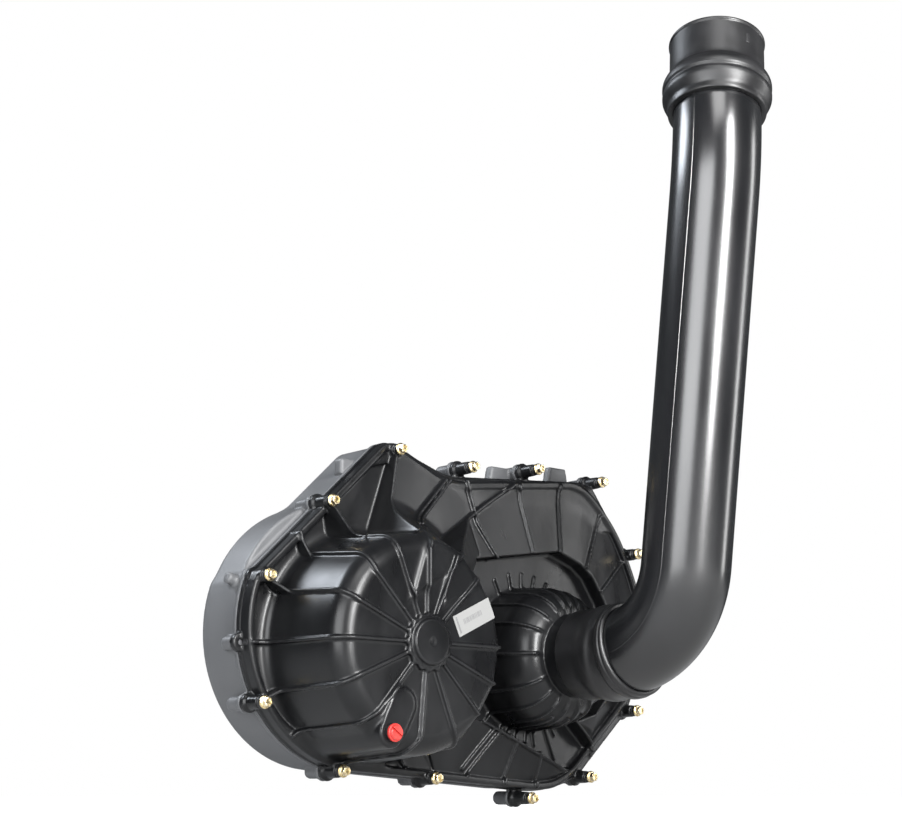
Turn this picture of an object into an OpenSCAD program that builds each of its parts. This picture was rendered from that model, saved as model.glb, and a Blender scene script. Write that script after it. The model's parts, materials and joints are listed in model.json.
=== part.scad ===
// Belt-drive (CVT) housing of a side-by-side vehicle with its cooling-air intake duct.
// Row frame: +Z up, the ribbed cover faces -Y, the engine side faces +Y.
// Every module is drawn in the front frame: x right, y up, z forwards from the rear mounting face.

/* [Housing] */
// Distance between the engine shaft and the gearbox shaft
centre_distance = 255; // [250:1:260]
// Depth of the grey back housing, rear face to joint plane
back_depth = 72; // [70:1:76]
// Wall of the moulded housing and cover
wall = 3.2; // [2.4:0.1:4]
// Height of the cover's rim above the joint plane
rim_h = 20; // [18:1:22]
// Height of the gutter inside the rim above the joint plane
gutter_h = 12; // [11:0.5:13]
// Width of the rim
rim_w = 8; // [7:0.5:9]
// Radius of the outline round the engine shaft lobe
left_r = 153; // [152:0.5:155]
// Radius of the outline round the gearbox shaft lobe
right_r = 198; // [196:0.5:200]

/* [Dome] */
// Height of the dome's face above the joint plane
dome_h = 128; // [124:1:134]
// Radius of the dome's face out to the start of its rounded shoulder
dome_face_r = 101; // [98:1:104]
// Radius of the rounded shoulder
shoulder_r = 17; // [12:1:18]
// Radius of the dome at its foot
dome_base_r = 126; // [124:0.5:127]
// Radius of the round hub in the middle of the dome
hub_r = 24.5; // [22:0.5:27]

/* [Inlet] */
// Radius of the recess round the inlet bell
recess_r = 128; // [124:1:130]
// Height of the recess floor above the joint plane
recess_floor = 11.5; // [10:0.5:13]
// Height of the shelf's inner edge above the joint plane
shelf_h = 32; // [28:1:36]
// Outer radius of the bell at its foot
bell_r = 84; // [80:1:88]
// Height of the bell's throat above the joint plane
bell_h = 97; // [92:1:102]
// Outer radius of the inlet neck
neck_r = 48; // [46:0.5:50]

/* [Duct] */
// Outer radius of the duct
duct_r = 50; // [48:0.5:51]
// Wall of the blow-moulded duct
duct_wall = 2.8; // [2:0.1:3.5]
// Height at which the elbow starts, in front of the joint plane
elbow_start = 170; // [166:1:176]
// Centre-line radius of the elbow
elbow_r = 107; // [100:1:112]
// Angle of the elbow
elbow_angle = 80.7; // [76:0.1:90]
// Length of the long straight
long_straight = 411; // [300:1:440]
// Centre-line radius of the upper bend
bend_r = 250; // [200:5:320]
// Angle of the upper bend
bend_angle = 22.8; // [15:0.1:26]
// Length from the end of the upper bend to the mouth of the cuff
top_straight = 102; // [98:1:110]

/* [Fasteners] */
// Radius of the screw bosses
boss_r = 7.2; // [6.8:0.1:8]
// Height of the screw bosses above the joint plane
boss_h = 24; // [22:1:26]
// Radius of the screw heads' flange
head_r = 7.1; // [6.8:0.1:7.5]

/* [Belt drive] */
// Height of the belt's middle above the rear mounting face
belt_z = 44; // [43:0.5:45]
// Radius of the drive sheaves
drive_r = 97; // [95:1:98]
// Radius of the driven sheaves
driven_r = 142; // [140:1:143]
// Outer radius of the belt on the drive clutch at rest
belt_r1 = 52; // [50:1:54]
// Outer radius of the belt on the driven clutch at rest
belt_r2 = 139; // [137:1:140]

/* [Hidden] */
$fn = 48;

black = [0.07, 0.07, 0.075];
rubber = [0.04, 0.04, 0.042];
grey = [0.46, 0.46, 0.48];
zinc = [0.80, 0.66, 0.32];
steel = [0.62, 0.63, 0.65];
alloy = [0.72, 0.73, 0.75];

joint = back_depth;                       // the joint plane, above the rear mounting face
seal_t = 1.5;
drum_r = 148.5;                           // round bulge of the back housing behind the engine lobe
flange_z = joint - seal_t;                // top of the back housing, under the seal
rim_top = joint + rim_h;
face_z = joint + dome_h;
floor_z = joint + recess_floor;
bell_z = joint + 52;                      // where the bell starts to curve in
neck_top = joint + 131;
left_c = [-4, 18];                        // centres of the arcs of the outline
right_c = [272, 43];
recess_c = [268, 12];
driven_c = [centre_distance, 0];

// Where the cover screws stand, anticlockwise from the top of the engine lobe
SCREWS = [[45, 229], [-53, 159], [-137, 70], [-140, -64], [-34, -134], [100, -141], [251, -163],
          [352, -138], [438, -56], [446, 143], [381, 229], [267, 232], [158, 222]];
LOW_EAR = [-156, -1];
RIB_ANGLES = [0, 45, 67.5, 90, 112.5, 135, 157.5, 180, 202.5, 225, 265, 292.5, 315, 337.5];
SHELF_RIBS = [-130, -110, -92, -51, 36, 54, 74, 92, 118];
PLUG = [-50, -96];
plug_z = joint + 131;
outlet_c = [72, 142];
engine_pcd = 130;
gearbox_pcd = 120;
drive_travel = 20;
sheave_slope = tan(13);
belt_half = 17.7;                         // half the belt's outer width
belt_t = 13;
post_r = 14;
driven_post_r = 20;
skirt_h = 88;                             // skirt of the drive clutch's moving sheave
pivot_z = belt_z + 48;                    // flyweight pins
pivot_r = 71;
spider_z = belt_z + 58;
roller_at = 50;                           // radius of the roller pins
dish_r = 64;                              // bowl in the driven clutch's fixed sheave

// The row's +Z is up and the cover faces -Y
module front() { rotate([90, 0, 0]) children(); }
module at(p, z = 0) { translate([p[0], p[1], z]) children(); }
module ring(r_out, r_in, h) {
  difference() {
    cylinder(r = r_out, h = h);
    translate([0, 0, -1]) cylinder(r = r_in, h = h + 2);
  }
}
function arc(c, r, a, b, n) = [for (i = [0:n]) let (t = a + (b - a) * i / n)
                               [c[0] + r * cos(t), c[1] + r * sin(t)]];

// The outline that cover, seal and back housing share, grown by g
function outline(g) = concat(
  arc(left_c, left_r + g, 165, 265.8, 16),
  arc(right_c, right_r + g, 265.8, 294, 5),
  arc(right_c, right_r + g, 329, 398.7, 11),
  arc([363, 203], 27 + g, 38.7, 94.6, 6),
  arc([148, 333], -120 + g, 94.6, 73, 4),
  arc([42, 214], 25 + g, 73, 134, 6),
  arc([-129, 59], 21.5 + g, 134, 170, 4));
module plate(g, z, h) { translate([0, 0, z]) linear_extrude(height = h) polygon(outline(g)); }

// ---- cover ----
function dome_points(t) = concat(
  [[0, joint - t], [dome_base_r - t, joint - t], [dome_base_r - t, joint + gutter_h]],
  arc([dome_face_r, face_z - shoulder_r], shoulder_r - t, 8, 90, 6),
  [[0, face_z - t]]);
module dome_body(t) { rotate_extrude($fn = 96) polygon(dome_points(t)); }

function bell_points(t) = concat(
  [[0, joint - 1], [bell_r - t, joint - 1]],
  [for (a = [0:15:75])
    [neck_r + (bell_r - neck_r - t) * cos(a), bell_z + (joint + bell_h - bell_z - t) * sin(a)]],
  [[neck_r - t, joint + bell_h - t], [neck_r - t, neck_top], [0, neck_top]]);
module bell_body(t) { at(driven_c) rotate_extrude($fn = 96) polygon(bell_points(t)); }

// The rim and the gutter's floor inside it
module rim_body() {
  difference() {
    union() {
      plate(-1.6, joint, rim_h);
      plate(0, joint, 5);
    }
    plate(-1.6 - rim_w, joint + gutter_h, rim_h);
    plate(-1.6 - wall, joint - 1, gutter_h - wall + 1);
  }
}
// The shelf rises from the gutter to the edge of the recess round the bell
module shelf_body() {
  difference() {
    intersection() {
      plate(-4, joint + gutter_h - 1, shelf_h - gutter_h + 2);
      at(recess_c, joint + gutter_h - 0.5)
        cylinder(r1 = right_r - 9, r2 = recess_r, h = shelf_h - gutter_h + 0.5);
    }
    at(recess_c, joint) cylinder(r = recess_r, h = shelf_h + 10);
  }
}

module dome_rib(a) {
  rotate([0, 0, a]) translate([hub_r, 0, 0]) rotate([90, 0, 0]) translate([0, 0, -2])
    linear_extrude(height = 4)
      polygon([[0, face_z - 1], [0, face_z + 4], [dome_face_r - hub_r, face_z + 3],
               [dome_face_r + 15 - hub_r, face_z - 8], [dome_face_r + 22 - hub_r, face_z - 26],
               [dome_base_r - hub_r + 4, joint + gutter_h + 14],
               [dome_base_r - hub_r + 8, joint + gutter_h - 1],
               [dome_base_r - hub_r - 1.5, joint + gutter_h - 1], [dome_face_r - 12 - hub_r, face_z - 1]]);
}
module shelf_rib(a) {
  at(recess_c) rotate([0, 0, a]) rotate([90, 0, 0]) translate([0, 0, -1.8]) linear_extrude(height = 3.6)
    polygon([[recess_r + 1, joint + gutter_h - 1], [recess_r + 1, joint + shelf_h + 3],
             [recess_r + 10, joint + shelf_h + 2], [right_r - 16, rim_top - 2],
             [right_r - 16, joint + gutter_h - 1]]);
}

module outer_cover() {
  color(black) front() difference() {
    union() {
      rim_body();
      shelf_body();
      dome_body(0);
      difference() {
        union() {
          bell_body(0);
          at(recess_c, floor_z - wall) cylinder(r = recess_r + 2, h = wall);
        }
        bell_body(wall);
        at(driven_c, joint - 2) cylinder(r = neck_r - wall, h = 140);
        dome_body(wall);
      }
      at([0, 0], face_z - 2) cylinder(r = hub_r + 7, h = 7);
      at([0, 0], face_z - 2) cylinder(r = hub_r, h = 12);
      for (a = RIB_ANGLES) dome_rib(a);
      for (a = SHELF_RIBS) shelf_rib(a);
      at(PLUG, plug_z - 26) cylinder(r = 15, h = 26);
      for (p = SCREWS) at(p, joint) cylinder(r = boss_r, h = boss_h);
      for (p = SCREWS) at(p, joint) cylinder(r = boss_r + 3.5, h = 5);
      at(LOW_EAR, joint) cylinder(r = boss_r + 3, h = 8);
    }
    difference() {
      dome_body(wall);
      at(PLUG, plug_z - 26) cylinder(r = 15, h = 26);
    }
    at(driven_c, joint - 5) cylinder(r = bell_r - wall, h = gutter_h + 9);
    for (p = SCREWS) at(p, joint - 1) cylinder(r = 4.55, h = boss_h + 2);
    at(LOW_EAR, joint - 1) cylinder(r = 3.2, h = 12);
    at(PLUG, plug_z - 30) cylinder(r = 7.05, h = 40);
  }
}

// Flat gasket that covers the housing's flange and its ears
module cover_seal() {
  color(rubber) front() difference() {
    union() {
      difference() { plate(-0.4, joint - seal_t, seal_t); plate(-7, joint - seal_t - 1, seal_t + 2); }
      for (p = SCREWS) at(p, joint - seal_t) cylinder(r = boss_r + 3, h = seal_t);
    }
    for (p = SCREWS) at(p, joint - seal_t - 1) cylinder(r = 5, h = seal_t + 2);
    at(LOW_EAR, joint - seal_t - 1) cylinder(r = 8.5, h = seal_t + 2);
  }
}

// ---- back housing ----
module lug(x, w, y, h) {
  translate([x, y, joint - 26]) linear_extrude(height = 12)
    polygon([[0, 0], [w, 0], [w - 7, h], [7, h]]);
}
module bolt_holes(c, pcd, turn, r) {
  for (i = [0:3]) at(c) rotate([0, 0, turn + 90 * i]) translate([pcd / 2, 0, -1]) cylinder(r = r, h = 30);
}
module back_housing() {
  color(grey) front() difference() {
    union() {
      difference() {
        union() {
          plate(-3, 0, flange_z);
          plate(0, flange_z - 6, 6);
          at(left_c) cylinder(r = drum_r, h = joint - 14, $fn = 128);
          at(outlet_c, -24) cylinder(r = 38, h = 26);
        }
        plate(-7, 4, joint);
        at(left_c, 4) cylinder(r = drum_r - 4, h = joint - 22, $fn = 128);
        at(outlet_c, -25) cylinder(r = 35, h = 40);
      }
      for (p = SCREWS) at(p, flange_z - 28) cylinder(r = 8, h = 28);
      for (p = SCREWS) at(p, flange_z - 6) cylinder(r = boss_r + 3.5, h = 6);
      at(LOW_EAR, flange_z - 18) cylinder(r = 8, h = 18);
      at([0, 0], 3) ring(78, 46, 4);
      at(driven_c, 3) ring(72, 40, 4);
      lug(224, 48, 208, 30);
      lug(326, 42, 216, 33);
      translate([-10, 200, joint - 24]) cube([20, 18, 14]);
    }
    at([0, 0], -1) cylinder(r = 46, h = 20);
    at(driven_c, -1) cylinder(r = 40, h = 20);
    bolt_holes([0, 0], engine_pcd, 45, 4.5);
    bolt_holes(driven_c, gearbox_pcd, 45, 4.5);
    for (p = SCREWS) at(p, flange_z - 20) cylinder(r = 4.5, h = 30);
    at(LOW_EAR, flange_z - 15) cylinder(r = 3.2, h = 30);
  }
}
module threaded_inserts() {
  color(zinc) front() for (p = SCREWS) at(p, flange_z - 16) ring(4.5, 3.05, 16);
}
module locating_pin() {
  color(steel) front() at(LOW_EAR, flange_z - 15) cylinder(r = 3.15, h = 22);
}

// ---- screws ----
module compression_sleeves() {
  color(steel) front() for (p = SCREWS) at(p, joint) ring(4.5, 3.3, boss_h + 6);
}
module screw_grommets() {
  color(rubber) front() for (p = SCREWS) at(p, joint + boss_h) ring(6.4, 4.5, 6);
}
module flange_screw() {
  cylinder(r = head_r, h = 1.7);
  translate([0, 0, 1.6]) cylinder(r1 = 6.2, r2 = 5.6, h = 1.2);
  translate([0, 0, 1.6]) cylinder(r = 5.6, h = 6, $fn = 6);
  translate([0, 0, -42]) cylinder(r = 3, h = 43);
}
module cover_screws() {
  color(zinc) front() for (p = SCREWS) at(p, joint + boss_h + 6) flange_screw();
}

// ---- drain plug ----
module drain_plug() {
  color([0.9, 0.13, 0.13]) front() at(PLUG, plug_z) difference() {
    union() {
      translate([0, 0, 2.5]) cylinder(r = 9.4, h = 3);
      translate([0, 0, 5.4]) cylinder(r1 = 8.2, r2 = 7.4, h = 3);
      translate([0, 0, -18]) cylinder(r = 7, h = 21);
    }
    rotate([0, 0, -35]) translate([-9, -1.1, 6.4]) cube([18, 2.2, 3]);
    translate([0, 0, -19]) cylinder(r = 4.5, h = 18);
  }
}
module drain_plug_ring() {
  color(rubber) front() at(PLUG, plug_z + 0.1) ring(9, 7.06, 2.35);
}
module info_label() {
  color("white") front() at([68, 31], face_z) rotate([0, 0, 25])
    translate([-29, -12, 0]) cube([58, 24, 0.4]);
}

// ---- inlet boot, duct and cuff ----
module inlet_boot() {
  color(rubber) front() {
    at(driven_c) rotate_extrude($fn = 96) polygon([
      [neck_r + 0.05, joint + 117], [neck_r + 3, joint + 117], [neck_r + 4, joint + 119],
      [neck_r + 4.2, joint + 146], [neck_r + 7.2, joint + 157], [neck_r + 7.4, joint + 165],
      [neck_r + 5, joint + 171], [neck_r + 5, joint + 178], [duct_r + 0.8, joint + 178],
      [duct_r + 0.05, joint + 168], [duct_r + 0.05, joint + 137], [neck_r + 0.05, joint + 134]]);
    // the far end leans with the elbow
    elbow_foot() bend(elbow_r, 8) {
      translate([0, 0, -18]) ring(duct_r + 4.2, duct_r + 1.8, 18);
      translate([0, 0, -4]) ring(duct_r + 5.8, duct_r + 1.2, 6);
    }
  }
}

// Each child is drawn on the duct's centre line: z along the duct, at the named station
module bend(radius, angle) {
  translate([0, radius, 0]) rotate([-angle, 0, 0]) translate([0, -radius, 0]) children();
}
module elbow_foot() { at(driven_c, joint + elbow_start) rotate([0, 0, 1.9]) children(); }
module straight_foot() { elbow_foot() bend(elbow_r, elbow_angle) children(); }
module bend_foot() { straight_foot() translate([0, 0, long_straight]) rotate([0, 0, -39.5]) children(); }
module top_foot() { bend_foot() bend(bend_r, bend_angle) children(); }
module mouth() { top_foot() translate([0, 0, top_straight]) children(); }
// A piece of pipe elbow that starts along +z and turns towards +y
module pipe_bend(radius, angle) {
  translate([0, radius, 0]) rotate([0, -90, 0]) rotate([0, 0, -90])
    rotate_extrude(angle = angle, $fn = 96) translate([radius, 0]) difference() {
      circle(r = duct_r);
      circle(r = duct_r - duct_wall);
    }
}
// A straight pipe, a little thinner than the bends and let into them by tuck at each end
module pipe(length, tuck_in, tuck_out) {
  translate([0, 0, -tuck_in]) ring(duct_r - 0.3, duct_r - duct_wall + 0.3, length + tuck_in + tuck_out);
}
module intake_duct() {
  color(black) front() {
    at(driven_c, joint + 136) pipe(elbow_start - 136, 0, 3);
    elbow_foot() pipe_bend(elbow_r, elbow_angle);
    straight_foot() pipe(long_straight, 3, 3);
    bend_foot() pipe_bend(bend_r, bend_angle);
    top_foot() pipe(top_straight - 52, 3, 0);
  }
}
module duct_cuff() {
  color(rubber) front() mouth() rotate_extrude($fn = 96) polygon([
    [duct_r + 0.05, -98], [duct_r + 6, -98], [duct_r + 6.5, -90], [duct_r + 11, -84],
    [duct_r + 12.3, -78], [duct_r + 12.3, -73], [duct_r + 10.8, -70], [duct_r + 12.4, -67],
    [duct_r + 12.4, -60], [duct_r + 10, -54], [duct_r + 4.6, -48], [duct_r + 4.2, -3],
    [duct_r + 5.4, -2], [duct_r + 5.4, 0], [duct_r - 0.5, 0], [duct_r - 0.5, -51.5],
    [duct_r + 0.05, -51.5]]);
}

// ---- shaft seals ----
module engine_side_seal() { color(rubber) front() ring(46, 30, 6); }
module gearbox_side_seal() { color(rubber) front() at(driven_c) ring(40, 30, 6); }

// ---- drive clutch, on the engine shaft ----
// Height of a sheave face above (side 1) or below (side -1) the belt's middle at radius r
function face_at(r, side, belt_r) = belt_z + side * (belt_half + 0.3 + (r - belt_r) * sheave_slope);
module drive_fixed_sheave() {
  color(alloy) front() difference() {
    union() {
      rotate_extrude($fn = 96) polygon([[0, 8], [26, 8], [26, 14], [drive_r - 8, 11],
        [drive_r, face_at(drive_r, -1, belt_r1) - 4], [drive_r, face_at(drive_r, -1, belt_r1)],
        [22, face_at(22, -1, belt_r1)], [0, face_at(22, -1, belt_r1)]]);
      cylinder(r = post_r, h = post_top);
    }
    translate([0, 0, -1]) cylinder(r = 10, h = 61);
    translate([0, 0, 50]) cylinder(r = 6.5, h = post_top);
  }
}
drive_cover_z = face_at(drive_r, 1, belt_r1) + skirt_h;
post_top = drive_cover_z + 12;
module drive_spider() {
  color(alloy) front() difference() {
    union() {
      translate([0, 0, spider_z]) cylinder(r = 24, h = 14);
      for (i = [0:2]) rotate([0, 0, 120 * i + 60]) {
        translate([10, -11, spider_z]) cube([46, 5, 14]);
        translate([10, 6, spider_z]) cube([46, 5, 14]);
      }
    }
    translate([0, 0, spider_z - 1]) cylinder(r = post_r, h = 20);
    for (i = [0:2]) rotate([0, 0, 120 * i + 60]) translate([roller_at, 0, spider_z + 7])
      rotate([90, 0, 0]) cylinder(r = 2.5, h = 30, center = true);
  }
}
module roller_pins() {
  color(steel) front() for (i = [0:2]) rotate([0, 0, 120 * i + 60]) translate([roller_at, 0, spider_z + 7])
    rotate([90, 0, 0]) cylinder(r = 2.5, h = 22, center = true);
}
module roller(i) {
  color(steel) front() rotate([0, 0, 120 * i + 60]) translate([roller_at, 5.5, spider_z + 7])
    rotate([90, 0, 0]) ring(6.5, 2.55, 11);
}
module roller_1() { roller(0); }
module roller_2() { roller(1); }
module roller_3() { roller(2); }
module drive_moving_sheave() {
  color(alloy) front() difference() {
    union() {
      rotate_extrude($fn = 96) polygon([[0, face_at(19, 1, belt_r1)], [19, face_at(19, 1, belt_r1)],
        [drive_r, face_at(drive_r, 1, belt_r1)], [drive_r, face_at(drive_r, 1, belt_r1) + 4],
        [26, face_at(26, 1, belt_r1) + 8], [22, spider_z - 2 - drive_travel],
        [0, spider_z - 2 - drive_travel]]);
      difference() {
        translate([0, 0, face_at(drive_r, 1, belt_r1)]) ring(drive_r - 3, drive_r - 8, skirt_h);
        for (i = [0:2]) rotate([0, 0, 120 * i]) translate([60, -18, face_at(drive_r, 1, belt_r1) + 14])
          cube([60, 36, 60]);
      }
      for (i = [0:2]) rotate([0, 0, 120 * i + 60]) for (s = [-1, 1])
        translate([pivot_r - 7, s * 10 - 2.5, face_at(70, 1, belt_r1)]) cube([14, 5, 32]);
    }
    translate([0, 0, belt_z]) cylinder(r = post_r + 3, h = 100);
    for (i = [0:2]) rotate([0, 0, 120 * i + 60])
      translate([pivot_r, 0, pivot_z]) rotate([90, 0, 0]) cylinder(r = 2.5, h = 40, center = true);
    cover_screw_places() translate([0, 0, -10]) cylinder(r = 1.6, h = 20);
  }
}
module flyweight_pins() {
  color(steel) front() for (i = [0:2]) rotate([0, 0, 120 * i + 60])
    translate([pivot_r, 0, pivot_z]) rotate([90, 0, 0]) cylinder(r = 2.5, h = 25, center = true);
}
module flyweight(i) {
  color(steel) front() rotate([0, 0, 120 * i + 60]) translate([pivot_r, 0, pivot_z])
    rotate([90, 0, 0]) translate([0, 0, -5]) difference() {
      union() {
        cylinder(r = 5, h = 10);
        linear_extrude(height = 10) polygon([[0, 4.5], [-2, -4.5], [-34, 3], [-37, 8], [-30, 12], [-10, 7]]);
      }
      translate([0, 0, -1]) cylinder(r = 2.55, h = 12);
    }
}
module flyweight_1() { flyweight(0); }
module flyweight_2() { flyweight(1); }
module flyweight_3() { flyweight(2); }
module drive_bushing() {
  color(zinc) front() translate([0, 0, face_at(19, 1, belt_r1) + 1]) ring(post_r + 3, post_r + 0.05, 18);
}
module cover_screw_places() {
  for (i = [0:5]) rotate([0, 0, 60 * i + 30]) translate([drive_r - 5.5, 0, drive_cover_z]) children();
}
module drive_cover_plate() {
  color(alloy) front() difference() {
    union() {
      translate([0, 0, drive_cover_z]) cylinder(r = drive_r - 3, h = 5);
      translate([0, 0, drive_cover_z]) cylinder(r = 22, h = 10);
    }
    translate([0, 0, drive_cover_z - 1]) cylinder(r = post_r + 0.05, h = 20);
    for (i = [0:5]) rotate([0, 0, 60 * i + 30]) translate([drive_r - 30, 0, drive_cover_z - 1])
      cylinder(r = 9, h = 10);
    cover_screw_places() translate([0, 0, -1]) cylinder(r = 1.6, h = 10);
  }
}
module drive_cover_screws() {
  color(steel) front() cover_screw_places() {
    translate([0, 0, -8]) cylinder(r = 1.6, h = 14);
    translate([0, 0, 5]) cylinder(r = 2.4, h = 3);
  }
}
function helix(r, z0, z1, turns, n) = [for (i = [0:n])
  [r * cos(360 * turns * i / n), r * sin(360 * turns * i / n), z0 + (z1 - z0) * i / n]];
// Spring as a stack of wire rings joined by its own pitch, kept simple because it is hidden
module coil(r, wire, z0, z1, turns) {
  n = turns * 10;
  path = helix(r, z0 + wire, z1 - wire, turns, n);
  sides = 5;
  points = [for (k = [0:n]) let (p = path[k], a = 360 * turns * k / n)
            for (j = [0:sides - 1]) let (b = 360 * j / sides)
            [p[0] + wire * cos(b) * cos(a), p[1] + wire * cos(b) * sin(a), p[2] + wire * sin(b)]];
  faces = concat([[for (j = [0:sides - 1]) j]], [[for (j = [sides - 1:-1:0]) n * sides + j]],
    [for (k = [0:n - 1]) for (j = [0:sides - 1]) let (m = (j + 1) % sides)
     [k * sides + j, (k + 1) * sides + j, (k + 1) * sides + m, k * sides + m]]);
  polyhedron(points = points, faces = faces);
}
module drive_spring() {
  color(steel) front() coil(30, 2.4, spider_z + 14, drive_cover_z, 5);
}
module drive_bolt() {
  color(steel) front() {
    translate([0, 0, post_top]) cylinder(r = 13, h = 4);
    translate([0, 0, post_top + 3]) cylinder(r = 10, h = 8, $fn = 6);
    translate([0, 0, 61]) cylinder(r = 6.5, h = post_top - 60);
  }
}

// ---- driven clutch, on the gearbox shaft ----
// Web on the sheave's front, from its hub wall down to its edge
module sheave_fin() {
  translate([0, 1.5, 0]) rotate([90, 0, 0]) linear_extrude(height = 3)
    polygon([[67, joint - 3], [67, face_at(67, 1, belt_r2) + 4],
      [driven_r - 3, face_at(driven_r, 1, belt_r2) + 0.8], [driven_r - 3, face_at(driven_r, 1, belt_r2) + 4.5]]);
}
module driven_fixed_sheave() {
  color(alloy) front() at(driven_c) difference() {
    union() {
      rotate_extrude($fn = 96) polygon([[dish_r, face_at(70, 1, belt_r2)], [70, face_at(70, 1, belt_r2)],
        [driven_r, face_at(driven_r, 1, belt_r2)], [driven_r, face_at(driven_r, 1, belt_r2) + 3],
        [70, face_at(70, 1, belt_r2) + 8], [68, joint + 9], [16, joint + 9], [16, joint + 5],
        [dish_r, joint + 5]]);
      cylinder(r = driven_post_r, h = joint + 24);
      for (i = [0:11]) rotate([0, 0, 30 * i]) sheave_fin();
    }
    translate([0, 0, -1]) cylinder(r = 15, h = joint + 10);
    translate([0, 0, 1]) cylinder(r = 6, h = joint + 30);
    translate([0, 0, -1]) cylinder(r = 30, h = 7);
  }
}
module driven_moving_sheave() {
  color(alloy) front() at(driven_c) difference() {
    rotate_extrude($fn = 96) polygon([[dish_r - 8, face_at(70, -1, belt_r2) - 6],
      [driven_r, face_at(driven_r, -1, belt_r2) - 4], [driven_r, face_at(driven_r, -1, belt_r2)],
      [70, face_at(70, -1, belt_r2)], [dish_r - 3, face_at(70, -1, belt_r2)], [dish_r - 3, joint - 2],
      [driven_post_r + 2, joint - 2], [driven_post_r + 2, joint - 22], [driven_post_r + 8, joint - 22],
      [driven_post_r + 8, joint - 7], [dish_r - 8, joint - 7]]);
    for (i = [0:2]) rotate([0, 0, 120 * i + 15]) translate([43, 0, joint - 10]) cylinder(r = 5, h = 10);
  }
}
module driven_bushing() {
  color(zinc) front() at(driven_c, joint - 22) ring(driven_post_r + 2, driven_post_r + 0.05, 20);
}
module driven_cam() {
  color(alloy) front() at(driven_c, 9) difference() {
    union() {
      cylinder(r = 52, h = 4);
      cylinder(r = 31, h = 12);
    }
    translate([0, 0, -1]) cylinder(r = driven_post_r, h = 20);
    for (i = [0:2]) rotate([0, 0, 120 * i]) translate([26, 0, 5]) cylinder(r = 4.5, h = 10);
  }
}
module driven_buttons() {
  color(rubber) front() for (i = [0:2]) at(driven_c) rotate([0, 0, 120 * i + 60])
    translate([driven_post_r + 5, 0, joint - 26]) cylinder(r = 2.6, h = 4);
}
module driven_spring() { color(steel) front() at(driven_c) coil(42, 2.6, 13, joint - 7, 3); }
module driven_bolt() {
  color(steel) front() at(driven_c) {
    translate([0, 0, joint + 24]) cylinder(r = 12, h = 3);
    translate([0, 0, joint + 26]) cylinder(r = 9, h = 7, $fn = 6);
    translate([0, 0, joint + 10]) cylinder(r = 6, h = 15);
  }
}

// ---- belt ----
// The line that wraps both sheaves at depth d below the belt's outer face
function belt_line(d) = let (lean = asin((belt_r2 - belt_r1) / centre_distance)) concat(
  arc([0, 0], belt_r1 - d, 90 + lean, 270 - lean, 24), arc(driven_c, belt_r2 - d, -90 - lean, 90 + lean, 36));
module belt_band(depth, half) {
  translate([0, 0, belt_z - half]) linear_extrude(height = 2 * half) difference() {
    polygon(belt_line(0));
    polygon(belt_line(depth));
  }
}
module drive_belt() {
  color([0.1, 0.1, 0.1]) front() {
    belt_band(belt_t, belt_half - belt_t * sheave_slope);
    belt_band(belt_t / 2, belt_half - belt_t / 2 * sheave_slope);
  }
}

outer_cover();
cover_seal();
back_housing();
threaded_inserts();
locating_pin();
compression_sleeves();
screw_grommets();
cover_screws();
drain_plug();
drain_plug_ring();
info_label();
inlet_boot();
intake_duct();
duct_cuff();
engine_side_seal();
gearbox_side_seal();
drive_fixed_sheave();
drive_spider();
drive_moving_sheave();
drive_cover_plate();
drive_cover_screws();
drive_bushing();
drive_spring();
drive_bolt();
flyweight_pins();
flyweight_1();
flyweight_2();
flyweight_3();
roller_pins();
roller_1();
roller_2();
roller_3();
driven_fixed_sheave();
driven_moving_sheave();
driven_bushing();
driven_cam();
driven_buttons();
driven_spring();
driven_bolt();
drive_belt();
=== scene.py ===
import json
import math

import bpy
import numpy as np
from mathutils import Matrix, Vector


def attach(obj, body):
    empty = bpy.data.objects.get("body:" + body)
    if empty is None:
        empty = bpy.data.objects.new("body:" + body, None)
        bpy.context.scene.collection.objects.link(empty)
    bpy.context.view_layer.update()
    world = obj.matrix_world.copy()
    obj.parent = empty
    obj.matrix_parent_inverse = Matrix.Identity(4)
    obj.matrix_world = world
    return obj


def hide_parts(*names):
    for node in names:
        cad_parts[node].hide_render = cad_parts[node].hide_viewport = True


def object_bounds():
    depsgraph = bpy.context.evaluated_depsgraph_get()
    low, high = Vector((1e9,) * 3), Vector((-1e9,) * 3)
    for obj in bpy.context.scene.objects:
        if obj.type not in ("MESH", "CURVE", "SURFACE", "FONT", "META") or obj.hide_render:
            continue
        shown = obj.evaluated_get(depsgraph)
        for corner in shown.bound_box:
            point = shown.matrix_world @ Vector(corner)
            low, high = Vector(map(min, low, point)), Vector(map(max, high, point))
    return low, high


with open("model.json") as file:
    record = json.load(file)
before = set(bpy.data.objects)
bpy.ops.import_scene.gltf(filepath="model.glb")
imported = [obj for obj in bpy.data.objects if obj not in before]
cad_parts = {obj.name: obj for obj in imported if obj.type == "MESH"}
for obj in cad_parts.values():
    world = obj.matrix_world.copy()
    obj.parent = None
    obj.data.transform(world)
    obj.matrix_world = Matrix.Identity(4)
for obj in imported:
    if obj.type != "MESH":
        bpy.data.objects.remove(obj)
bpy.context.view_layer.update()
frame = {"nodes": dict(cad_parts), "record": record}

# ---------------------------------------------------------------------------
# Sizes, in millimetres, in the front frame: x right, y up, h forwards from the
# joint plane between the cover and the back housing. Every shape below is built
# in this frame, and piece() takes it to the frame of the CAD model.
# ---------------------------------------------------------------------------
JOINT = 72.0                       # joint plane, in front of the rear mounting face
SHAFTS = 255.0                     # from the engine shaft to the gearbox shaft
FACE_H = 128.0                     # the dome's face
DOME_FOOT = 127.0                  # radius at the dome's foot
SHOULDER_R, EDGE_R = 22.0, 5.0     # rounding of the dome's face on the left and on the right
HUB_R = 24.5
FLANGE_H = 5.0
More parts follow.
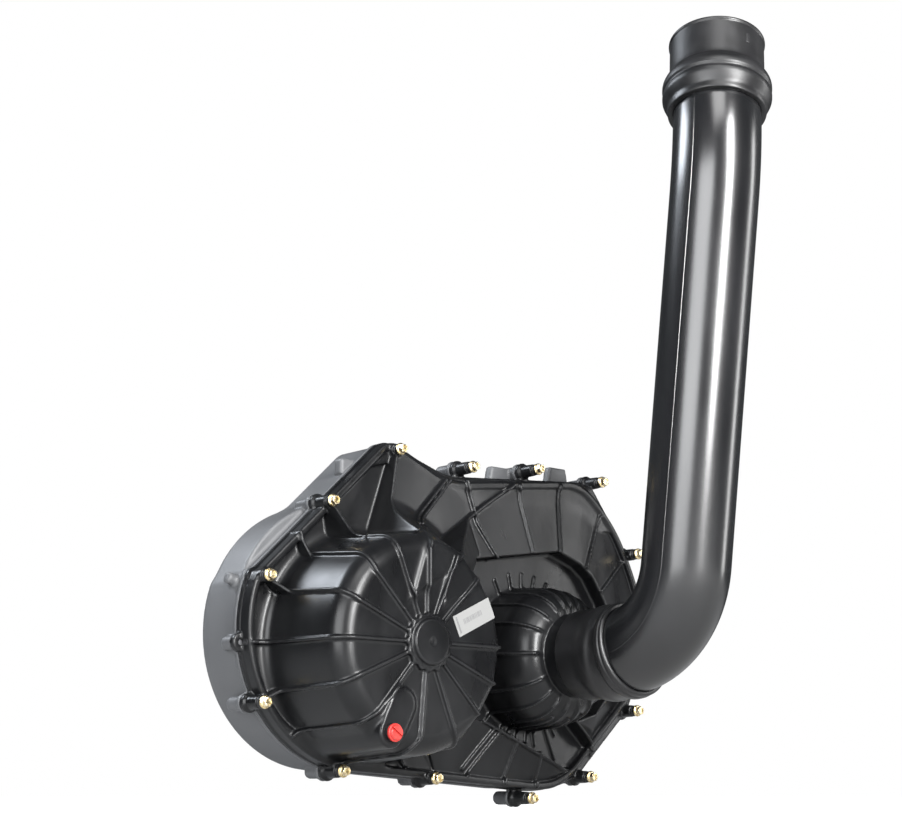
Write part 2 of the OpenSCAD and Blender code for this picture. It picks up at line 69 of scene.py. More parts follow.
RIM_H, RIM_W, RIM_IN = 20.0, 8.0, 1.6   # the lip's height and width, and how far it sits inside the outline
GUTTER_H = 12.0
SHELF_LOW, SHELF_H = 14.0, 31.0    # the right lobe's shelf at the lip and at the recess
RECESS_H = 11.5
NECK_R, NECK_H = 48.0, 131.0
BELL_R, BELL_FOOT, BELL_H = 83.0, 50.0, 97.0
WALL = 3.2
BOSS_R, BOSS_H = 7.2, 24.0
EAR = 3.5                          # the ears' width round the bosses
BOSS_HOLE_R, LOW_HOLE_R, PLUG_HOLE_R = 4.55, 3.2, 7.05
SCREWS = [(45, 229), (-53, 159), (-137, 70), (-140, -64), (-34, -134), (100, -141), (251, -163),
          (352, -138), (438, -56), (446, 143), (381, 229), (267, 232), (158, 222)]
LOW_EAR = (-156, -1)
PLUG, PLUG_H = (-50, -96), 131.0
DRUM_C, DRUM_R = (-4, 18), 148.5   # round bulge of the back housing behind the engine lobe
OUTLET, OUTLET_R = (72, 142), 38.0
HOUSING_WALL, HOUSING_TOP = 4.5, -1.5
DUCT_R, DUCT_WALL = 50.0, 2.8


# ---------------------------------------------------------------------------
# Materials
# ---------------------------------------------------------------------------
def new_material(name):
    m = bpy.data.materials.new(name)
    m.use_nodes = True
    return m, m.node_tree.nodes, m.node_tree.links, m.node_tree.nodes["Principled BSDF"]


def noise(nodes, links, source, scale, detail=3.0, stretch=(1, 1, 1)):
    mapping = nodes.new("ShaderNodeMapping")
    mapping.inputs["Scale"].default_value = stretch
    links.new(source, mapping.inputs["Vector"])
    n = nodes.new("ShaderNodeTexNoise")
    n.inputs["Scale"].default_value = scale
    n.inputs["Detail"].default_value = detail
    links.new(mapping.outputs["Vector"], n.inputs["Vector"])
    return n.outputs["Fac"]


def spread(nodes, links, value, low, high, at_low=0.35, at_high=0.65):
    r = nodes.new("ShaderNodeMapRange")
    r.inputs["From Min"].default_value = at_low
    r.inputs["From Max"].default_value = at_high
    r.inputs["To Min"].default_value = low
    r.inputs["To Max"].default_value = high
    links.new(value, r.inputs["Value"])
    return r.outputs["Result"]


def mix_colours(nodes, links, factor, a, b):
    m = nodes.new("ShaderNodeMix")
    m.data_type = "RGBA"
    m.inputs["A"].default_value = (*a, 1)
    m.inputs["B"].default_value = (*b, 1)
    links.new(factor, m.inputs["Factor"])
    return m.outputs["Result"]


def moulded(name, dark, light, rough, spread_rough=0.08, grain=900.0, grain_depth=0.00002,
            flow=(1, 1, 1), flow_scale=14.0, flow_depth=0.0, metal=0.0, edge_highlight=0.0, specular=0.5):
    """A moulded or machined surface: mottled colour and gloss, fine grain, slow waviness, and a painted
    highlight that lightens sharp edges.
    """
    m, nodes, links, shader = new_material(name)
    where = nodes.new("ShaderNodeTexCoord").outputs["Object"]
    patches = noise(nodes, links, where, flow_scale, 4.0, flow)
    fine = noise(nodes, links, where, grain, 2.0)
    colour = mix_colours(nodes, links, spread(nodes, links, patches, 0, 1), dark, light)
    # painted highlight: the base colour is made lighter on sharp convex edges, where rib edges catch the
    # light
    if edge_highlight:
        edge = nodes.new("ShaderNodeNewGeometry").outputs["Pointiness"]
        edge_highlight_amount = spread(nodes, links, edge, 0, edge_highlight, 0.52, 0.6)
        mixed = nodes.new("ShaderNodeMix")
        mixed.data_type = "RGBA"
        links.new(edge_highlight_amount, mixed.inputs["Factor"])
        links.new(colour, mixed.inputs["A"])
        mixed.inputs["B"].default_value = (*[min(1, 2.6 * c + 0.02) for c in light], 1)
        colour = mixed.outputs["Result"]
    links.new(colour, shader.inputs["Base Color"])
    links.new(spread(nodes, links, patches, rough - spread_rough / 2, rough + spread_rough / 2),
              shader.inputs["Roughness"])
    shader.inputs["Metallic"].default_value = metal
    shader.inputs["Specular IOR Level"].default_value = specular
    bump = nodes.new("ShaderNodeBump")
    bump.inputs["Strength"].default_value = 1.0
    bump.inputs["Distance"].default_value = grain_depth
    links.new(fine, bump.inputs["Height"])
    normal = bump.outputs["Normal"]
    if flow_depth:
        slow = nodes.new("ShaderNodeBump")
        slow.inputs["Strength"].default_value = 1.0
        slow.inputs["Distance"].default_value = flow_depth
        links.new(noise(nodes, links, where, flow_scale * 2.5, 2.0, flow), slow.inputs["Height"])
        links.new(normal, slow.inputs["Normal"])
        normal = slow.outputs["Normal"]
    links.new(normal, shader.inputs["Normal"])
    return m


def label_film():
    """White film with a row of faint grey bars in place of its print."""
    m, nodes, links, shader = new_material("label_film")
    where = nodes.new("ShaderNodeTexCoord").outputs["UV"]
    parts = nodes.new("ShaderNodeSeparateXYZ")
    links.new(where, parts.inputs["Vector"])

    def band(value, low, high):
        above = nodes.new("ShaderNodeMath")
        above.operation = "GREATER_THAN"
        above.inputs[1].default_value = low
        links.new(value, above.inputs[0])
        below = nodes.new("ShaderNodeMath")
        below.operation = "LESS_THAN"
        below.inputs[1].default_value = high
        links.new(value, below.inputs[0])
        both = nodes.new("ShaderNodeMath")
        both.operation = "MULTIPLY"
        links.new(above.outputs[0], both.inputs[0])
        links.new(below.outputs[0], both.inputs[1])
        return both.outputs[0]

    def times(a, b):
        t = nodes.new("ShaderNodeMath")
        t.operation = "MULTIPLY"
        links.new(a, t.inputs[0])
        links.new(b, t.inputs[1])
        return t.outputs[0]

    wave = nodes.new("ShaderNodeTexNoise")
    wave.noise_dimensions = "1D"
    wave.inputs["Scale"].default_value = 60.0
    links.new(parts.outputs["X"], wave.inputs["W"])
    bars = spread(nodes, links, wave.outputs["Fac"], 0, 0.5, 0.48, 0.5)
    line = times(bars, times(band(parts.outputs["X"], 0.22, 0.72), band(parts.outputs["Y"], 0.42, 0.66)))
    side = times(band(parts.outputs["X"], 0.05, 0.09), band(parts.outputs["Y"], 0.12, 0.9))
    both = nodes.new("ShaderNodeMath")
    both.operation = "MAXIMUM"
    links.new(line, both.inputs[0])
    smudged = spread(nodes, links, noise(nodes, links, where, 30), 0.2, 0.8)
    links.new(times(side, smudged), both.inputs[1])
    links.new(mix_colours(nodes, links, both.outputs[0], (0.21, 0.21, 0.206), (0.06, 0.06, 0.067)),
              shader.inputs["Base Color"])
    shader.inputs["Roughness"].default_value = 0.42
    return m


# the edge_highlight values set how much lighter each material's sharp edges are painted, as a highlight
MATERIALS = {
    "cover_black": moulded("cover_plastic", (0.003, 0.0031, 0.0035), (0.006, 0.0062, 0.0068), 0.32, 0.1,
                           grain=1400.0, grain_depth=0.000025, flow=(1, 1, 0.45), flow_scale=24.0,
                           flow_depth=0.00012, edge_highlight=0.35, specular=0.32),
    "rubber_black": moulded("black_rubber", (0.004, 0.004, 0.0044), (0.008, 0.008, 0.0088), 0.4, 0.1,
                            grain=1500.0, grain_depth=0.00003, flow_scale=30.0, flow_depth=0.00003,
                            edge_highlight=0.2),
    "housing_grey": moulded("grey_housing", (0.074, 0.0755, 0.079), (0.09, 0.092, 0.096), 0.5, 0.1,
                            grain=1600.0, grain_depth=0.00003, flow=(1, 1, 0.5), flow_scale=16.0,
                            flow_depth=0.00005, edge_highlight=0.15),
    "zinc_yellow": moulded("yellow_zinc", (0.55, 0.40, 0.16), (0.86, 0.74, 0.47), 0.3, 0.16,
                           grain=900.0, grain_depth=0.00003, flow_scale=260.0, metal=1.0, edge_highlight=0.4),
    "brass": moulded("brass", (0.55, 0.38, 0.14), (0.72, 0.54, 0.25), 0.3, 0.1,
                     grain=900.0, grain_depth=0.00002, metal=1.0),
    "duct_black": moulded("duct_plastic", (0.004, 0.0042, 0.0047), (0.007, 0.0072, 0.008), 0.24, 0.05,
                          grain=1500.0, grain_depth=0.00002, flow=(1, 1, 0.25), flow_scale=18.0,
                          flow_depth=0.00006, edge_highlight=0.1, specular=0.8),
    "plug_red": moulded("red_plug", (0.40, 0.022, 0.018), (0.48, 0.036, 0.028), 0.38, 0.1,
                        grain=1200.0, grain_depth=0.00003, edge_highlight=0.1),
    "label_white": label_film(),
    "steel": moulded("turned_steel", (0.34, 0.34, 0.36), (0.5, 0.5, 0.52), 0.32, 0.1,
                     grain=1200.0, grain_depth=0.00002, flow=(1, 8, 1), flow_scale=60.0, metal=1.0),
    "alloy": moulded("cast_alloy", (0.48, 0.49, 0.5), (0.62, 0.63, 0.65), 0.4, 0.12,
                     grain=1200.0, grain_depth=0.00004, flow=(1, 4, 1), flow_scale=40.0, metal=1.0),
    "belt_rubber": moulded("belt_rubber", (0.014, 0.014, 0.014), (0.024, 0.024, 0.024), 0.6, 0.1,
                           grain=1500.0, grain_depth=0.00005),
}
SLOT_OF = {s["node"]: s["material_slot"] for s in frame["record"]["subparts"]}


# ---------------------------------------------------------------------------
# Meshes
# ---------------------------------------------------------------------------
def in_model(points):
    """Points of the front frame, in metres in the frame of the CAD model."""
    points = np.asarray(points, float)
    return (np.stack([points[:, 0], -(points[:, 2] + JOINT), points[:, 1]], 1) / 1000).tolist()


def piece(name, points, faces, slot, body, replaced=(), angle=None):
    """A mesh piece from points of the front frame; edges sharper than the angle stay sharp."""
    mesh = bpy.data.meshes.new(name)
    mesh.from_pydata(in_model(points), [], faces if isinstance(faces, list) else faces.tolist())
    mesh.validate()
    mesh.update()
    mesh.shade_smooth()
    if angle is not None:
        mesh.set_sharp_from_angle(angle=math.radians(angle))
    obj = bpy.data.objects.new(name, mesh)
    bpy.context.scene.collection.objects.link(obj)
    mesh.materials.append(MATERIALS[slot])
    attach(obj, body)
    if replaced:
        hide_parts(*replaced)
    return obj


# Solids are given by fields: the distance from the surface, negative inside.
def smooth_min(a, b, k):
    """The union of two fields, blended over the width k."""
    t = np.clip(0.5 + 0.5 * (b - a) / k, 0, 1)
    return b + (a - b) * t - k * t * (1 - t)


def smooth_max(a, b, k):
    """What two fields have in common, blended over the width k."""
    return -smooth_min(-a, -b, k)


def segment_distance(x, y, a, b):
    """Distance in the plane from the segment a-b."""
    ax, ay = a
    dx, dy = b[0] - ax, b[1] - ay
    t = np.clip(((x - ax) * dx + (y - ay) * dy) / (dx * dx + dy * dy), 0, 1)
    return np.hypot(x - ax - t * dx, y - ay - t * dy)


def along(x, y, a, b):
    """How far a point lies along the segment a-b, from 0 to 1."""
    dx, dy = b[0] - a[0], b[1] - a[1]
    return np.clip(((x - a[0]) * dx + (y - a[1]) * dy) / (dx * dx + dy * dy), 0, 1)


def side_of(x, y, a, b):
    """Signed distance from the line a-b, positive on its right."""
    dx, dy = b[0] - a[0], b[1] - a[1]
    return ((x - a[0]) * dy - (y - a[1]) * dx) / math.hypot(dx, dy)


def polygon_distance(x, y, points):
    """Signed distance in the plane from a closed polygon, negative inside."""
    best = np.full(np.broadcast(x, y).shape, 1e9)
    inside = np.zeros(best.shape, bool)
    for a, b in zip(points, points[1:] + points[:1]):
        best = np.minimum(best, segment_distance(x, y, a, b))
        if a[1] != b[1]:
            edge_x = (b[0] - a[0]) * (y - a[1]) / (b[1] - a[1]) + a[0]
            inside ^= ((a[1] > y) != (b[1] > y)) & (x < edge_x)
    return np.where(inside, -best, best)


def arc(centre, r, start, end, n):
    angles = [math.radians(start + (end - start) * i / n) for i in range(n + 1)]
    return [(centre[0] + r * math.cos(a), centre[1] + r * math.sin(a)) for a in angles]


def outline(dip=0.0):
    """The outline that the cover and the back housing share, its saddle at the top lowered by the dip."""
    saddle_end = 73 - 0.86 * dip
    return (arc((-4, 18), 153, 165, 265.8, 48) + arc((272, 43), 198, 265.8, 294, 16)
            + arc((272, 43), 198, 329, 398.7, 36) + arc((363, 203), 27, 38.7, 94.6, 10)
            + arc((148, 333 - dip), -120, 94.6, saddle_end, 10) + arc((42, 214), 25, saddle_end, 134, 10)
            + arc((-129, 59), 21.5, 134, 170, 6))


class Grid:
    """A box of sample points in the front frame."""

    def __init__(self, low, high, step):
        axes = [np.arange(a, b + step, step, dtype=np.float32) for a, b in zip(low, high)]
        self.step, self.low = step, np.array(low, float)
        self.x, self.y = np.meshgrid(axes[0], axes[1], indexing="ij")
        self.h = axes[2][None, None, :]
        self.shape = (len(axes[0]), len(axes[1]), len(axes[2]))
        self.axes = axes

    def part(self, low, high):
        """Slices of the samples between two corners."""
        return tuple(slice(max(0, int((a - o) / self.step)), int((b - o) / self.step) + 2)
                     for a, b, o in zip(low, high, self.low))

    def skin(self, f):
        """The surface where f changes sign, as points and outward quads (naive surface nets)."""
        # cells that the surface crosses
        inside = f < 0
        count = np.zeros(tuple(n - 1 for n in f.shape), np.int8)
        corners = [(a, b, c) for a in (0, 1) for b in (0, 1) for c in (0, 1)]
        for a, b, c in corners:
            count += inside[a:f.shape[0] - 1 + a, b:f.shape[1] - 1 + b, c:f.shape[2] - 1 + c]
        mask = (count > 0) & (count < 8)
        cells = np.argwhere(mask)
        index = np.full(mask.shape, -1, np.int32)
        index[mask] = np.arange(len(cells))
        i, j, k = cells.T
        # one point in each, at the mean of the crossings on its edges
        value = {c: f[i + c[0], j + c[1], k + c[2]].astype(np.float64) for c in corners}
        total, hits = np.zeros((len(cells), 3)), np.zeros(len(cells))
        for c in corners:
            for axis in range(3):
                if c[axis]:
                    continue
                d = list(c)
                d[axis] = 1
                va, vb = value[c], value[tuple(d)]
                crossed = (va < 0) != (vb < 0)
                t = np.where(crossed, va / np.where(crossed, va - vb, 1), 0)
                for n in range(3):
                    total[:, n] += np.where(crossed, c[n] + (t if n == axis else 0), 0)
                hits += crossed
        points = self.low + (cells + total / hits[:, None]) * self.step
        # one quad across each grid edge that changes sign
        quads = []
        for axis in range(3):
            u, v = (axis + 1) % 3, (axis + 2) % 3
            first = [slice(None)] * 3
            second = [slice(None)] * 3
            first[axis], second[axis] = slice(0, -1), slice(1, None)
            a, b = inside[tuple(first)], inside[tuple(second)]
            for start, flip in ((a & ~b, False), (~a & b, True)):
                e = np.argwhere(start)
                e = e[(e[:, u] > 0) & (e[:, v] > 0)]
                e = e[(e[:, u] < f.shape[u] - 1) & (e[:, v] < f.shape[v] - 1)]
                around = []
                for du, dv in ((1, 1), (0, 1), (0, 0), (1, 0)):
                    q = e.copy()
                    q[:, u] -= du
                    q[:, v] -= dv
                    around.append(index[q[:, 0], q[:, 1], q[:, 2]])
                quad = np.stack(around, 1)
                quads.append(quad[:, ::-1] if flip else quad)
        return points, np.concatenate(quads)


# ---------------------------------------------------------------------------
# The ribbed cover
# ---------------------------------------------------------------------------
def polar(angle, r):
    return r * math.cos(math.radians(angle)), r * math.sin(math.radians(angle))


A_EDGE = [(0.0, 96.0), (43.0, 222.0)]              # web from the dome's top to the first boss
RAMP_EDGE = [polar(67.5, 97), (236.0, 210.0)]      # long rib that bounds the ramp
RAMP_END = [polar(45, 101), (146.0, 108.0)]
# Corners of the recess round the inlet bell
RECESS = [(120, 75), (144, 109), (193, 117), (301, 133), (340, 120), (360, 106), (382, 76), (396, 40),
          (399, 0), (390, -35), (364, -62), (327, -72), (384, -118), (309, -131), (259, -108), (221, -94),
          (173, -76), (110, -50)]
# The lip leaves the outline behind the lower and upper ears on the right, and under the highest boss
LIP_CHORDS = [((331, -138), (431, -49)), ((453, 118), (422, 178)), ((417, 184), (345, 232))]
LIP_DIP = 7.0                      # how far the lip runs inside the outline at the saddle
POCKET_C, POCKET_R = (57.5, 95.0), 120.0   # round edge of the pocket under the two highest bosses
# Ribs over the dome: angle on the face, end of the rib, heights of its web at the end and at the wall
DOME_RIBS = [(0, polar(0, 107), None), (45, polar(45, 103), None), (67.5, polar(67.5, 103), None),
             (90, (0, 101), None), (112.5, (-52, 157), (30, 62)), (135, (-90, 121), (20, 36)),
             (157.5, (-134, 68), (24, 42)), (180, (-150, -1), (15, 22)), (202.5, (-138, -63), (20, 32)),
             (228, (-96, -98), (15, 24)), (265, (-32, -131), (22, 34)), (292.5, (66, -128), (15, 24)),
             (315, polar(-45, 104), None), (337.5, polar(-22.5, 105), None)]
# Fins round the bell, as angles about its axis
FIN_ANGLES = [180, 153, 133, 116, 102, 90, 78, 66, 54, 38, 20, 0, -20, -40, -60, -80, -98, -114, -130, -150]
SHELF_RIBS = [((121, 203), (50, 141)), ((129, 204), (62, 143)), ((158, 206), (171, 156)),
              ((171, 156), (196, 117)), ((246, 210), (257, 128)), ((317, 218), (304, 133)),
              ((390, 187), (350, 118)), ((430, 131), (376, 90)), ((191, -83), (152, -130)),
              ((200, -86), (160, -136)), ((228, -97), (217, -147)), ((266, -110), (270, -150)),
              ((327, -72), (372, -112)), ((173, -76), (309, -131))]
FLOOR_RIBS = [((284, -68), (306, -117)), ((262, -74), (259, -103)), ((236, -72), (227, -90))]


def nearest(x, y, segments):
    return np.minimum.reduce([segment_distance(x, y, a, b) for a, b in segments])


def dome(x, y, h):
    """Drum with a draft and a rounded shoulder; its face is a polygon of chords on the right."""
    r = np.hypot(x, y)
    angle = np.degrees(np.arctan2(y, x))
    right = np.clip((70 - np.abs(angle - 11)) / 14, 0, 1)
    off = np.radians((angle % 22.5) - 11.25)
    chord = r * np.cos(off) / math.cos(math.radians(11.25))
    r = (r * (1 - right) + chord * right)[:, :, None]
    round_r = (SHOULDER_R - (SHOULDER_R - EDGE_R) * right)[:, :, None]
    lean = math.radians(4.8)
    foot = DOME_FOOT - 10 * right[:, :, None]
    side = (r - foot) * math.cos(lean) + (h - GUTTER_H) * math.sin(lean)
    top = h - FACE_H
    corner = np.sqrt(np.maximum(side + round_r, 0) ** 2 + np.maximum(top + round_r, 0) ** 2) - round_r
    return np.where((side > -round_r) & (top > -round_r), corner, np.maximum(side, top))


def turned_field(profile, r, heights):
    """Signed distance from a solid of revolution, looked up in a table over radius and height."""
    radii = np.arange(0, float(r.max()) + 2, 0.5)
    table = polygon_distance(radii[:, None], np.asarray(heights, float)[None, :], profile).astype(np.float32)
    place = r / 0.5
    low = np.clip(place.astype(int), 0, len(radii) - 2)
    part = (place - low)[:, :, None].astype(np.float32)
    return table[low] * (1 - part) + table[low + 1] * part


def bell_profile():
    """Half section of the inlet bell and its neck, as (radius, height)."""
    curve = [(NECK_R + (BELL_R - 3 - NECK_R) * math.cos(math.radians(a)),
              BELL_FOOT + (BELL_H - BELL_FOOT) * math.sin(math.radians(a))) for a in range(0, 81, 5)]
    return [(0, -20), (BELL_R, -20), (BELL_R, 20)] + curve + [(NECK_R + 1.5, BELL_H), (NECK_R, BELL_H),
                                                              (NECK_R, NECK_H), (0, NECK_H)]


def cover_fields(g):
    """The cover's solid body without its ribs and bosses."""
    x, y, h = g.x, g.y, g.h
    edge = polygon_distance(x, y, outline()).astype(np.float32)
    edge3 = edge[:, :, None]
    recess = polygon_distance(x, y, RECESS).astype(np.float32)
    # flange, lip and gutter
    lip = polygon_distance(x, y, outline(LIP_DIP)).astype(np.float32) + RIM_IN
    for chord in LIP_CHORDS:
        lip = smooth_max(lip, side_of(x, y, *chord), 16)
    lip = lip[:, :, None]
    flange = smooth_max(edge3, h - FLANGE_H, 1.5)
    block = smooth_max(lip, h - RIM_H, 3.0)
    beyond = POCKET_R - np.hypot(x - POCKET_C[0], y - POCKET_C[1])
    plateau = np.maximum(np.maximum(edge + 4, beyond), 168 - y)[:, :, None]
    plateau = smooth_max(plateau, h - RIM_H + 2.5, 2.0)
    pocket = smooth_max(lip + RIM_W + (RIM_H - h) * 0.12, GUTTER_H - h, 3.0)
    f = np.minimum(flange, smooth_max(block, -pocket, 2.5))
    f = smooth_min(f, plateau, 1.5)
    # shelf of the right lobe, rising to the recess
    inward = np.maximum(-lip[:, :, 0] - RIM_W, 0)
    rise = inward / (inward + np.maximum(recess, 0) + 1.0)
    top = SHELF_LOW + (SHELF_H - SHELF_LOW) * rise
    upper = np.maximum(-side_of(x, y, *A_EDGE), 20 - y)
    lower = np.maximum(-side_of(x, y, (118, -150), (88, -80)), y - 20)
    region = np.minimum(upper, lower)
    shelf = smooth_max(smooth_max((h - top[:, :, None]) / 1.02, lip + 4, 1.0), region[:, :, None], 2.0)
    f = smooth_min(f, shelf, 1.5)
    # concave sweep from the dome's top to the shelf, right of the first boss's web
    out = np.hypot(x, y) - 101
    sweep_top = smooth_max(127 - 1.78 * (out - 8), 36 - 0.22 * (out - 67), 22.0)
    sweep_top = np.minimum(sweep_top, FACE_H - 2)
    left = -side_of(x, y, *A_EDGE)
    right = side_of(x, y, *RAMP_EDGE)
    wedge = np.maximum(np.maximum(left, right), 30 - y)[:, :, None]
    sweep = np.maximum(np.maximum((h - sweep_top[:, :, None]) / 1.6, lip + 5), wedge)
    f = smooth_min(f, sweep, 4.0)
    # flat ramp from the dome's edge to the shelf's corner
    ramp_top = FACE_H - 98 * ((x - 55) * 104 + (y - 82.4) * 53) / 116.7 ** 2
    wedge = np.maximum(np.maximum(-right, side_of(x, y, *RAMP_END)), 30 - x)[:, :, None]
    ramp = np.maximum((h - ramp_top[:, :, None]) / 1.3, wedge)
    f = smooth_min(f, np.maximum(ramp, h - FACE_H + 2), 1.5)
    # recess round the bell
    hole = smooth_max(np.maximum(recess[:, :, None], lip + RIM_W), RECESS_H - h, 5.0)
    f = smooth_max(f, -hole, 3.0)
    f = smooth_min(f, np.maximum(np.maximum(edge3 + 3, h - RECESS_H), 0.5 - h), 2.0)
    # dome with a wide fillet at its foot, and the pad for the plug
    f = smooth_min(f, dome(x, y, h), 13.0)
    pad = segment_distance(x, y, (-34, -66), PLUG)[:, :, None]
    pad = smooth_max(pad - 16 - (PLUG_H - h) * 0.06, h - PLUG_H, 3.0)
    f = smooth_min(f, np.maximum(pad, 20 - h), 5.0)
    bell = turned_field(bell_profile(), np.hypot(x - SHAFTS, y), g.axes[2])
    f = smooth_min(f, np.maximum(bell, -h), 5.0)
    return f, edge


def cover_ribs(g, f, edge):
    """The ribs that stand on the body f: thin walls that follow its surface a few millimetres above it."""
    x, y, h = g.x, g.y, g.h
    ribs = np.full(g.shape, 50, np.float32)
    # over the dome, and down the webs that join its wall to the lip
    for angle, end, web in DOME_RIBS:
        start, bend = polar(angle, HUB_R - 2), polar(angle, 101)
        d = nearest(x, y, [(start, bend), (bend, end)])
        rib = smooth_max(f - 3.6, (d - 1.9)[:, :, None], 1.2)
        if web:
            t = along(x, y, polar(angle, 125), end)
            height = web[0] + (web[1] - web[0]) * (1 - t) + 18 * np.exp(-t / 0.06)
            wall = np.maximum(segment_distance(x, y, polar(angle, 112), end) - 1.9, edge + 4)[:, :, None]
            rib = np.minimum(rib, smooth_max(wall, h - height[:, :, None], 1.5))
        ribs = np.minimum(ribs, rib)
    d = nearest(x, y, SHELF_RIBS)
    d = np.maximum(d - 1.8, edge + 4)[:, :, None]
    ribs = np.minimum(ribs, smooth_max(f - 3.2, d, 1.2))
    long_rib = segment_distance(x, y, *RAMP_EDGE)[:, :, None] - 2.0
    ribs = np.minimum(ribs, smooth_max(f - 3.4, long_rib, 1.2))
    web = segment_distance(x, y, *A_EDGE)[:, :, None] - 2.2
    ribs = np.minimum(ribs, smooth_max(f - 3.0, web, 1.2))
    # fins on the bell and on the recess floor
    for a in FIN_ANGLES:
        inner = (SHAFTS + polar(a, 50)[0], polar(a, 50)[1])
        outer = (SHAFTS + polar(a, 103)[0], polar(a, 103)[1])
        d = np.maximum(segment_distance(x, y, inner, outer), NECK_R + 1.5 - np.hypot(x - SHAFTS, y))
        fin = smooth_max(f - 3.4, d[:, :, None] - 1.3, 1.0)
        ribs = np.minimum(ribs, smooth_max(fin, h - BELL_H, 1.0))
    d = nearest(x, y, FLOOR_RIBS)
    ribs = np.minimum(ribs, smooth_max(f - 3.5, d[:, :, None] - 1.6, 1.0))
    return ribs


def make_cover():
    step = 1.5
    g = Grid((-172, -182, -3), (466, 252, 144), step)
    x, y, h = g.x, g.y, g.h
    smooth, edge = cover_fields(g)
    f = smooth_min(smooth, cover_ribs(g, smooth, edge), 1.6)
    # hub with its fluted collar
    s = g.part((-40, -40, 118), (40, 40, 144))
    r, a = np.hypot(x, y)[s[0], s[1], None], np.arctan2(y, x)[s[0], s[1], None]
    hh = h[:, :, s[2]]
    collar = smooth_max(r - 30.5 - 1.0 * np.cos(16 * a), hh - FACE_H - 5.5, 1.5)
    disc = smooth_max(r - HUB_R, hh - FACE_H - 10, 1.2)
    dent = np.hypot(np.maximum(r - 3.2, 0), hh - FACE_H - 10) - 0.9
    hub = smooth_max(smooth_min(collar, disc, 1.5), -dent, 0.8)
    f[s] = smooth_min(f[s], hub, 1.5)
    # bosses on their ears
    for p in SCREWS:
        s = g.part((p[0] - 22, p[1] - 22, -3), (p[0] + 22, p[1] + 22, 40))
        r = np.hypot(x[s[0], s[1]] - p[0], y[s[0], s[1]] - p[1])[:, :, None]
        hh = h[:, :, s[2]]
        ear = smooth_max(r - BOSS_R - EAR, hh - FLANGE_H - 0.5, 2.0)
        post = smooth_max(r - BOSS_R - (BOSS_H - hh) * 0.03, hh - BOSS_H, 1.5)
        f[s] = smooth_min(smooth_min(f[s], ear, 3.0), post, 3.0)
        f[s] = smooth_max(f[s], BOSS_HOLE_R - r, 0.6)
    s = g.part((LOW_EAR[0] - 16, LOW_EAR[1] - 16, -3), (LOW_EAR[0] + 16, LOW_EAR[1] + 16, 14))
    r = np.hypot(x[s[0], s[1]] - LOW_EAR[0], y[s[0], s[1]] - LOW_EAR[1])[:, :, None]
    f[s] = smooth_min(f[s], smooth_max(r - BOSS_R - 3, h[:, :, s[2]] - 8, 2.0), 3.0)
    f[s] = np.maximum(f[s], LOW_HOLE_R - r)
    # hollow inside, open neck, plug hole
    f = np.maximum(f, -(smooth + WALL + 0.3 * (h < 1)))
    f = np.maximum(f, -h)
    s = g.part((SHAFTS - 60, -60, 60), (SHAFTS + 60, 60, 144))
    r = np.hypot(x[s[0], s[1]] - SHAFTS, y[s[0], s[1]])[:, :, None]
    f[s] = np.maximum(f[s], NECK_R - WALL - r + 0 * h[:, :, s[2]])
    s = g.part((PLUG[0] - 14, PLUG[1] - 14, 100), (PLUG[0] + 14, PLUG[1] + 14, 144))
    r = np.hypot(x[s[0], s[1]] - PLUG[0], y[s[0], s[1]] - PLUG[1])[:, :, None]
    f[s] = np.maximum(f[s], PLUG_HOLE_R - r + 0 * h[:, :, s[2]])
    points, quads = g.skin(f)
    piece("ribbed_cover", points, quads, "cover_black", "housing", ["outer_cover"])


